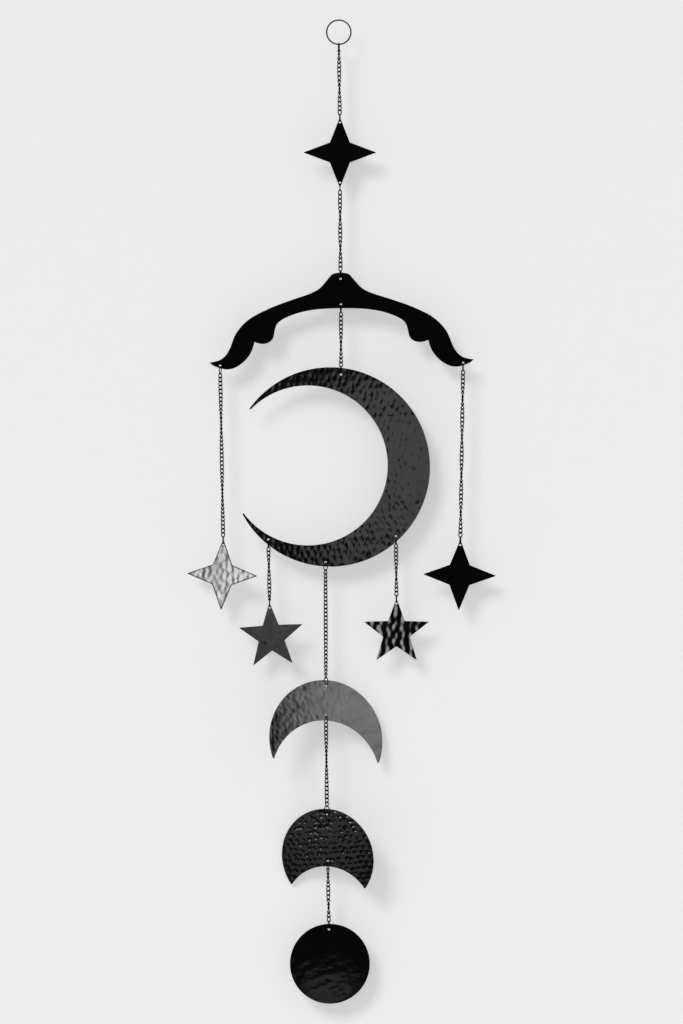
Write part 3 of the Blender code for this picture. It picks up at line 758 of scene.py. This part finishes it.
def paint_unevenness_group():
    """Cloudy tone, cloudy gloss and fine orange peel of a sprayed surface."""
    name = "paint_unevenness"
    if name in bpy.data.node_groups:
        return bpy.data.node_groups[name]
    sockets = {
        "Dark Tone": (0.002, 0.002, 0.002, 1), "Light Tone": (0.006, 0.006, 0.006, 1),
        "Smoothest": 0.1, "Roughest": 0.2, "Grain Size": 900.0,
    }
    group, given, result = new_group(name, sockets, ("Colour",), ("Roughness", "Height"))
    nodes = group.nodes
    where = nodes.new("ShaderNodeTexCoord")
    clouds = nodes.new("ShaderNodeTexNoise")
    peel = nodes.new("ShaderNodeTexNoise")
    blend = nodes.new("ShaderNodeMix")
    blend.data_type = "RGBA"
    spread = nodes.new("ShaderNodeMapRange")
    set_inputs(clouds, {"Scale": 70.0, "Detail": 4.0})
    set_inputs(peel, {"Detail": 2.0})
    set_inputs(spread, {"From Min": 0.3, "From Max": 0.7})
    join(
        group,
        (where, "Object", clouds, "Vector"),
        (where, "Object", peel, "Vector"),
        (given, "Grain Size", peel, "Scale"),
        (clouds, "Fac", blend, "Factor"),
        (given, "Dark Tone", blend, "A"),
        (given, "Light Tone", blend, "B"),
        (clouds, "Fac", spread, "Value"),
        (given, "Smoothest", spread, "To Min"),
        (given, "Roughest", spread, "To Max"),
        (blend, "Result", result, "Colour"),
        (spread, "Result", result, "Roughness"),
        (peel, "Fac", result, "Height"),
    )
    return group


def uneven_material(name, dark, light, smoothest, roughest, peel_depth, grain_size):
    """Surface with cloudy tone and gloss and a faint orange peel; gives it and two of its nodes."""
    material = bpy.data.materials.new(name)
    material.use_nodes = True
    nodes = material.node_tree.nodes
    shader = nodes["Principled BSDF"]
    effect = nodes.new("ShaderNodeGroup")
    effect.node_tree = paint_unevenness_group()
    bump = nodes.new("ShaderNodeBump")
    set_inputs(effect, {
        "Dark Tone": (*dark, 1), "Light Tone": (*light, 1), "Smoothest": smoothest,
        "Roughest": roughest, "Grain Size": grain_size,
    })
    set_inputs(bump, {"Strength": 1.0, "Distance": peel_depth})
    join(
        material.node_tree,
        (effect, "Colour", shader, "Base Color"),
        (effect, "Roughness", shader, "Roughness"),
        (effect, "Height", bump, "Height"),
        (bump, "Normal", shader, "Normal"),
    )
    return material, effect, shader


def metal_and_painted_reflection(name, tone):
    """Hammered metal whose pale base colour is partly the metal's own and partly painted reflection
    of the light that the turned star catches, darkened along its rims.
    """
    dark = [c * 0.6 for c in tone]
    material, effect, shader = uneven_material(name, dark, tone, 0.14, 0.24, 0.00002, 700.0)
    edge = material.node_tree.nodes.new("ShaderNodeAttribute")
    edge.attribute_name = "edge"
    darken = material.node_tree.nodes.new("ShaderNodeMix")
    darken.data_type = "RGBA"
    set_inputs(shader, {"Metallic": 0.9})
    set_inputs(darken, {"B": (0.02, 0.02, 0.02, 1)})
    join(
        material.node_tree,
        (effect, "Colour", darken, "A"),
        (edge, "Fac", darken, "Factor"),
        (darken, "Result", shader, "Base Color"),
    )
    return material


def material_named(name):
    """The finish of that name, made at its first use."""
    settings = bpy.context.scene.mobile_finishes
    if name in bpy.data.materials:
        return bpy.data.materials[name]
    # The left star's pale base colour is partly the metal's own and partly painted reflection.
    if name == "hammered_metal_and_painted_reflection":
        return metal_and_painted_reflection(name, tuple(settings.metal_and_reflection_colour))
    if name == "black_enamel_sheet":
        tone = tuple(settings.enamel_colour)
        return uneven_material(name, tone, [c * 2.2 for c in tone], 0.05, 0.09, 0.000002, 900.0)[0]
    tone = tuple(settings.wire_colour)
    light = [c * 2 for c in tone]
    wire, _, shader = uneven_material(name, tone, light, 0.35, 0.5, 0.00001, 2500.0)
    set_inputs(shader, {"Specular IOR Level": 0.02})
    return wire


# Hammer marks of each plate in millimetres: distance between blows, their size and depth, and the
# height and length of the sheet's slow swell and of its finer ripple. As shares: jitter of their
# places, luck in their depth, brick shift of every other row, slant of the rows, and lean and twist
# of each blow. A dent is placed by its x, z, length, width, tilt and strength. Fineness scales the
# mesh step.
FAINT = {
    "pitch": (8, 8), "size": (2.2, 2.2), "jitter": 0.5, "depth": 0.003, "swell": (0.01, 60),
    "fineness": 1.5,
}
BLOWS = {
    "top_star": FAINT,
    "arch": FAINT,
    "right_star": FAINT,
    "crescent_moon": {
        "pitch": (6.2, 7.0), "size": (1.1, 1.9), "jitter": 0.65, "depth": 0.06,
        "swell": (0.035, 30), "twist": 0.25, "fineness": 0.9,
    },
    "left_star": {
        "pitch": (5.8, 5.9), "size": (1.8, 2.2), "jitter": 0.45, "depth": 0.18, "swell": (0.05, 14),
        "luck": 0.4, "twist": 0.3, "brick": 0.2,
    },
    "left_small_star": {
        "pitch": (11, 11), "size": (1.5, 1.1), "jitter": 0.9, "depth": 0.05, "swell": (0.09, 22),
        "luck": 1.0, "fineness": 0.5,
        "dents": ((-7.0, -35.0, 1.1, 0.6, -0.3, 1.5), (-9.8, -34.2, 0.8, 0.6, 0, 1.1)),
    },
    "right_small_star": {
        "pitch": (7.6, 7.0), "size": (2.1, 2.5), "jitter": 0.35, "brick": 0.15, "depth": 0.22,
        "swell": (0.05, 14), "lean": 0.05, "twist": 0.2, "luck": 0.35,
    },
    "half_moon": {
        "pitch": (5.4, 7.5), "size": (1.3, 2.3), "jitter": 0.8, "depth": 0.034,
        "swell": (0.055, 18), "ripple": (0.014, 5.5), "fineness": 0.9,
    },
    "gibbous_moon": {
        "pitch": (6.8, 5.4), "size": (1.6, 0.95), "jitter": 0.45, "slant": 0.12, "depth": 0.115,
        "swell": (0.03, 30), "twist": 0.2, "fineness": 0.65,
        "dents": (
            (-15.8, -5.0, 3.0, 0.8, -0.6, 1.2), (-5.8, 1.8, 2.4, 0.8, -0.6, 1.2),
            (4.2, 1.2, 2.4, 0.8, -0.5, 1.2), (3.0, -7.0, 2.6, 0.8, -0.5, 1.2),
            (-6.2, -13.2, 3.0, 0.8, -0.5, 1.2), (2.2, -12.5, 2.6, 0.8, -0.7, 1.2),
            (19.2, -3.8, 3.0, 0.8, -0.6, 1.2), (20.5, -13.8, 2.4, 0.8, -0.4, 1.2),
            (-13.2, -18.8, 2.4, 0.8, -0.6, 1.0), (-32.0, -16.2, 2.0, 0.8, 0.4, 1.0),
            (18.0, -25.0, 2.2, 0.8, -0.4, 1.0), (-9.5, -8.5, 2.6, 0.8, -0.7, 1.2),
        ),
    },
    "full_moon": {
        "pitch": (7, 4.5), "size": (1.7, 1.0), "jitter": 0.9, "depth": 0.018, "swell": (0.03, 12),
    },
}
SEEDS = {name: 11 + 7 * i for i, name in enumerate(BLOWS)}


class MobileSheetSettings(bpy.types.PropertyGroup):
    mesh_step: bpy.props.FloatProperty(
        name="Mesh step", description="Spacing of the points on a hammered face",
        default=0.8 * MM, min=0.4 * MM, max=3 * MM, unit="LENGTH",
    )
    edge_round: bpy.props.FloatProperty(
        name="Edge rounding", description="Rounding of the sheet's edges and holes",
        default=0.08 * MM, min=0.02 * MM, max=0.3 * MM, unit="LENGTH",
    )


class MobileWireSettings(bpy.types.PropertyGroup):
    link_steps: bpy.props.IntProperty(
        name="Link steps", description="Points along one chain link", default=26, min=12, max=48,
    )
    wire_sides: bpy.props.IntProperty(
        name="Wire sides", description="Sides of the round wire", default=8, min=6, max=16,
    )


class MobileFinishSettings(bpy.types.PropertyGroup):
    enamel_colour: bpy.props.FloatVectorProperty(
        name="Enamel", description="Body colour of the black enamel", subtype="COLOR",
        size=3, default=(0.002, 0.002, 0.0021), min=0, max=1,
    )
    wire_colour: bpy.props.FloatVectorProperty(
        name="Wire", description="Body colour of the chains and rings", subtype="COLOR",
        size=3, default=(0.002, 0.002, 0.0021), min=0, max=1,
    )
    # The star's pale colour is partly the metal's own and partly painted reflection of the light
    # that the turned star catches.
    metal_and_reflection_colour: bpy.props.FloatVectorProperty(
        name="Bright metal", description="Colour of the bright hammered star", subtype="COLOR",
        size=3, default=(0.5, 0.5, 0.5), min=0, max=1,
    )


class MobileStageSettings(bpy.types.PropertyGroup):
    camera_distance: bpy.props.FloatProperty(
        name="Camera distance", description="From the camera to the plates",
        default=8.0, min=1, max=20, unit="LENGTH",
    )
    backdrop_gap: bpy.props.FloatProperty(
        name="Backdrop gap", description="From the plates to the backdrop",
        default=26 * MM, min=5 * MM, max=1, unit="LENGTH",
    )


class MOBILE_OT_hanging_ring(bpy.types.Operator):
    """Build the wire ring that the mobile hangs from"""

    bl_idname = "mobile.hanging_ring"
    bl_label = "Hanging ring"

    def execute(self, context):
        settings = context.scene.mobile_wire
        piece = split_ring(
            "hanging_ring_wire", RING_RADIUS, RING_WIRE_RADIUS, RING_STEPS,
            settings.wire_sides * 2, RING_JOINT, RING_GAP, RING_MISS,
        )
        piece.data.transform(Matrix.Translation((0, 0, -RING_INNER_RADIUS)))
        finish_piece(piece, "hanging_ring", "black_wire_paint")
        return {"FINISHED"}


class MOBILE_OT_chains(bpy.types.Operator):
    """Build the ten chains of oval links"""

    bl_idname = "mobile.chains"
    bl_label = "Chains"

    def execute(self, context):
        for name in CHAINS:
            piece = chain_piece(name, context.scene.mobile_wire)
            finish_piece(piece, name, "black_wire_paint")
        return {"FINISHED"}


class MOBILE_OT_jump_rings(bpy.types.Operator):
    """Build the jump ring at each end of each chain"""

    bl_idname = "mobile.jump_rings"
    bl_label = "Jump rings"

    def execute(self, context):
        for name in CHAINS:
            for end, label in enumerate(("upper", "lower")):
                node = label + "_ring_of_" + name
                piece = jump_ring_piece(name, end, node, context.scene.mobile_wire)
                finish_piece(piece, node, "black_wire_paint")
        return {"FINISHED"}


def build_plates(names, context):
    """Build the named plates, the left star in metal whose pale colour is partly its own and partly
    painted reflection, and the others in black enamel.
    """
    for name in names:
        piece = plate_piece(name, context.scene.mobile_sheet)
        # The left star gets a pale base colour that is partly the metal's own and partly painted
        # reflection.
        bright = name == "left_star"
        finish_piece(piece, name, "hammered_metal_and_painted_reflection" if bright else "black_enamel_sheet")
    return {"FINISHED"}


class MOBILE_OT_arch(bpy.types.Operator):
    """Build the arch that the three strings hang from"""

    bl_idname = "mobile.arch"
    bl_label = "Arch"

    def execute(self, context):
        return build_plates(("arch",), context)


class MOBILE_OT_stars(bpy.types.Operator):
    """Build the four-point and five-point stars"""

    bl_idname = "mobile.stars"
    bl_label = "Stars"

    def execute(self, context):
        names = ("top_star", "left_star", "right_star", "left_small_star", "right_small_star")
        return build_plates(names, context)


class MOBILE_OT_moons(bpy.types.Operator):
    """Build the crescent, half, gibbous and full moons"""

    bl_idname = "mobile.moons"
    bl_label = "Moons"

    def execute(self, context):
        return build_plates(("crescent_moon", "half_moon", "gibbous_moon", "full_moon"), context)


CAMERA_X = 2.7 * MM
CAMERA_Z = -491.2 * MM
VIEW_HEIGHT = 1024 * MM
SENSOR_WIDTH = 36

# Backdrop and floor in metres, and the strengths of the studio's lights
STAGE_REACH = 4
STAGE_TOP = 3
FLOOR_LEVEL = -1.3
WALL_TONE = 0.85
WALL_GLOW = 0.4
FLOOR_TONE = 0.6
KEY_STRENGTH = 0.78
KEY_SPREAD = math.radians(20)
KEY_DIRECTION = (12, 24, -16)
SURROUNDING_LIGHT = 0.3
SURROUNDING_SEEN = 0.8
MIRRORED_FRONT = 0.015
MIRRORED_BACK = 0.5

# Cards of light: plate, the part of it that shows the card from its lower left to its upper right
# in millimetres, distance in metres, brightness, and the degrees that it is swung sideways and up
CARDS = (
    ("crescent_moon", (-22, -166), (190, 0), 3.3, 1.32),
    ("crescent_moon", (-38, -198), (62, -166), 3.3, 1.32),
    ("half_moon", (-60, -130), (105, 60), 1.4, 1.0),
    ("half_moon", (-36, -130), (105, 60), 1.4, 1.3),
    ("half_moon", (-14, -40), (60, 30), 1.4, 0.4),
    ("half_moon", (12, -62), (75, 2), 1.4, 0.6),
    *(("half_moon", (left, -90), (left + 8, 20), 1.4, 2.3) for left in range(-18, 90, 18)),
    ("gibbous_moon", (-44, -70), (44, 62), 1.4, 0.6),
    ("gibbous_moon", (-62, -14), (86, 10), 1.4, 11.0, (0.8, 5.0)),
    ("left_star", (-130, -170), (130, 110), 1.4, 0.25),
    ("left_star", (6, -170), (150, 110), 1.4, 2.6),
    ("left_small_star", (-75, -105), (60, 55), 1.4, 0.95),
    ("left_small_star", (-5, -40), (60, 40), 1.4, 0.35),
    ("full_moon", (-33, -88), (33, -46), 1.0, 0.12),
    ("full_moon", (-24, -82), (20, -50), 1.0, 0.42),
    ("right_small_star", (-85, -190), (85, 130), 2.5, 6.5, (6, 0)),
    ("right_small_star", (-150, -230), (150, 170), 2.5, 2.8, (6, 0)),
)


def backdrop_material(name, tone, glow):
    """Matt pale surface that is seen from its front only, with an even glow of its own."""
    material = bpy.data.materials.new(name)
    material.use_nodes = True
    nodes = material.node_tree.nodes
    shader = nodes["Principled BSDF"]
    set_inputs(shader, {
        "Base Color": (tone, tone, tone, 1), "Roughness": 1.0, "Specular IOR Level": 0.0,
        "Emission Color": (1, 1, 1, 1), "Emission Strength": glow,
    })
    facing = nodes.new("ShaderNodeNewGeometry")
    clear = nodes.new("ShaderNodeBsdfTransparent")
    choose = nodes.new("ShaderNodeMixShader")
    join(
        material.node_tree,
        (facing, "Backfacing", choose, "Fac"),
        (shader, "BSDF", choose, 1),
        (clear, "BSDF", choose, 2),
        (choose, "Shader", nodes["Material Output"], "Surface"),
    )
    return material


def stage_plane(name, corners, material):
    """Flat four-cornered part of the stage."""
    mesh = bpy.data.meshes.new(name)
    mesh.from_pydata(corners, [], [(0, 1, 2, 3)])
    plane = new_object(name, mesh)
    mesh.materials.append(material)
    return plane


def reflected_card(plate, low, high, distance, radiance, turned=(0, 0)):
    """Card of light that the camera sees mirrored in one part of a plate, and only mirrored."""
    far = bpy.context.scene.mobile_stage.camera_distance
    camera = Vector((CAMERA_X, -far, CAMERA_Z))
    place = PLATE_PLACES[plate]
    normal = -place.col[1].xyz
    middle = (Vector(low) + Vector(high)) / 2 * MM
    at = place @ Vector((middle.x, 0, middle.y))
    view = (at - camera).normalized()
    seen = view - 2 * view.dot(normal) * normal
    sideways = seen.cross(Vector((0, 0, 1))).normalized()
    seen = Matrix.Rotation(-math.radians(turned[0]), 3, sideways.cross(seen)) @ seen
    seen = Matrix.Rotation(math.radians(turned[1]), 3, sideways) @ seen
    growth = (1 + distance / far) * MM
    light = bpy.data.lights.new("card_for_" + plate, "AREA")
    light.shape = "RECTANGLE"
    light.size, light.size_y = (high[0] - low[0]) * growth, (high[1] - low[1]) * growth
    light.energy = radiance * math.pi * light.size * light.size_y
    lamp = new_object("card_for_" + plate, light)
    lamp.location = at + seen * distance
    lamp.rotation_euler = (-seen).to_track_quat("-Z", "Y").to_euler()
    lamp.visible_camera = False
    lamp.visible_diffuse = False
    mirrored_by = bpy.data.collections.new("mirrored_by_" + plate)
    mirrored_by.objects.link(bpy.data.objects[plate + "_sheet"])
    lamp.light_linking.receiver_collection = mirrored_by


def studio_world():
    """Even pale light, with a dark front side in the plates' reflections."""
    world = bpy.data.worlds.new("studio")
    bpy.context.scene.world = world
    world.use_nodes = True
    nodes = world.node_tree.nodes
    even = nodes["Background"]
    mirrored = nodes.new("ShaderNodeBackground")
    pale = nodes.new("ShaderNodeBackground")
    way = nodes.new("ShaderNodeTexCoord")
    parts = nodes.new("ShaderNodeSeparateXYZ")
    fall = nodes.new("ShaderNodeMapRange")
    path = nodes.new("ShaderNodeLightPath")
    choose = nodes.new("ShaderNodeMixShader")
    beyond = nodes.new("ShaderNodeMixShader")
    set_inputs(even, {"Color": (1, 1, 1, 1), "Strength": SURROUNDING_LIGHT})
    set_inputs(mirrored, {"Color": (1, 1, 1, 1)})
    set_inputs(pale, {"Color": (1, 1, 1, 1), "Strength": SURROUNDING_SEEN})
    set_inputs(fall, {
        "From Min": -0.7, "From Max": 0.2, "To Min": MIRRORED_FRONT, "To Max": MIRRORED_BACK,
    })
    join(
        world.node_tree,
        (way, "Generated", parts, "Vector"),
        (parts, "Y", fall, "Value"),
        (fall, "Result", mirrored, "Strength"),
        (path, "Is Glossy Ray", choose, "Fac"),
        (even, "Background", choose, 1),
        (mirrored, "Background", choose, 2),
        (path, "Is Camera Ray", beyond, "Fac"),
        (choose, "Shader", beyond, 1),
        (pale, "Background", beyond, 2),
        (beyond, "Shader", nodes["World Output"], "Surface"),
    )


class MOBILE_OT_stage(bpy.types.Operator):
    """Set up the camera, the pale backdrop and floor, and the soft studio light"""

    bl_idname = "mobile.stage"
    bl_label = "Stage"

    def execute(self, context):
        settings = context.scene.mobile_stage
        distance = settings.camera_distance
        camera = bpy.data.cameras.new("camera")
        camera.sensor_width = SENSOR_WIDTH
        camera.lens = SENSOR_WIDTH * distance / VIEW_HEIGHT
        camera.clip_end = 50
        view = new_object("camera", camera)
        view.location = (CAMERA_X, -distance, CAMERA_Z)
        view.rotation_euler = (math.radians(90), 0, 0)
        context.scene.camera = view
        context.scene.view_settings.view_transform = "Standard"

        gap, reach, floor, top = settings.backdrop_gap, STAGE_REACH, FLOOR_LEVEL, STAGE_TOP
        wall = [(-reach, gap, floor), (reach, gap, floor), (reach, gap, top), (-reach, gap, top)]
        stage_plane("backdrop", wall, backdrop_material("backdrop_white", WALL_TONE, WALL_GLOW))
        corners = ((-reach, -reach), (reach, -reach), (reach, gap), (-reach, gap))
        ground = [(x, y, floor) for x, y in corners]
        floor_plane = stage_plane("floor", ground, backdrop_material("floor_pale", FLOOR_TONE, 0.0))
        floor_plane.visible_glossy = False

        studio_world()
        key = bpy.data.lights.new("key", "SUN")
        key.angle = KEY_SPREAD
        key.energy = KEY_STRENGTH
        lamp = new_object("key", key)
        lamp.rotation_euler = Vector(KEY_DIRECTION).to_track_quat("-Z", "Y").to_euler()
        for card in CARDS:
            reflected_card(*card)
        return {"FINISHED"}


class MOBILE_PT_panel(bpy.types.Panel):
    """Sizes, finishes and steps of the mobile"""

    bl_idname = "MOBILE_PT_panel"
    bl_label = "Hanging mobile"
    bl_space_type = "VIEW_3D"
    bl_region_type = "UI"
    bl_category = "Mobile"

    def draw(self, context):
        layout = self.layout
        scene = context.scene
        for group in SETTINGS:
            box = layout.box()
            settings = getattr(scene, group)
            for key in settings.__annotations__:
                box.prop(settings, key)
        for operator in OPERATORS:
            layout.operator(operator.bl_idname)


SETTINGS = {
    "mobile_sheet": MobileSheetSettings,
    "mobile_wire": MobileWireSettings,
    "mobile_finishes": MobileFinishSettings,
    "mobile_stage": MobileStageSettings,
}
OPERATORS = (
    MOBILE_OT_hanging_ring,
    MOBILE_OT_chains,
    MOBILE_OT_jump_rings,
    MOBILE_OT_arch,
    MOBILE_OT_stars,
    MOBILE_OT_moons,
    MOBILE_OT_stage,
)


CLASSES = (*SETTINGS.values(), *OPERATORS, MOBILE_PT_panel)


def register():
    for each in CLASSES:
        bpy.utils.register_class(each)
    for name, settings in SETTINGS.items():
        setattr(bpy.types.Scene, name, bpy.props.PointerProperty(type=settings))


def unregister():
    for name in SETTINGS:
        delattr(bpy.types.Scene, name)
    for each in reversed(CLASSES):
        bpy.utils.unregister_class(each)


def main():
    register()
    bpy.ops.mobile.hanging_ring()
    bpy.ops.mobile.chains()
    bpy.ops.mobile.jump_rings()
    bpy.ops.mobile.arch()
    bpy.ops.mobile.stars()
    bpy.ops.mobile.moons()
    bpy.ops.mobile.stage()


if __name__ == "__main__":
    main()
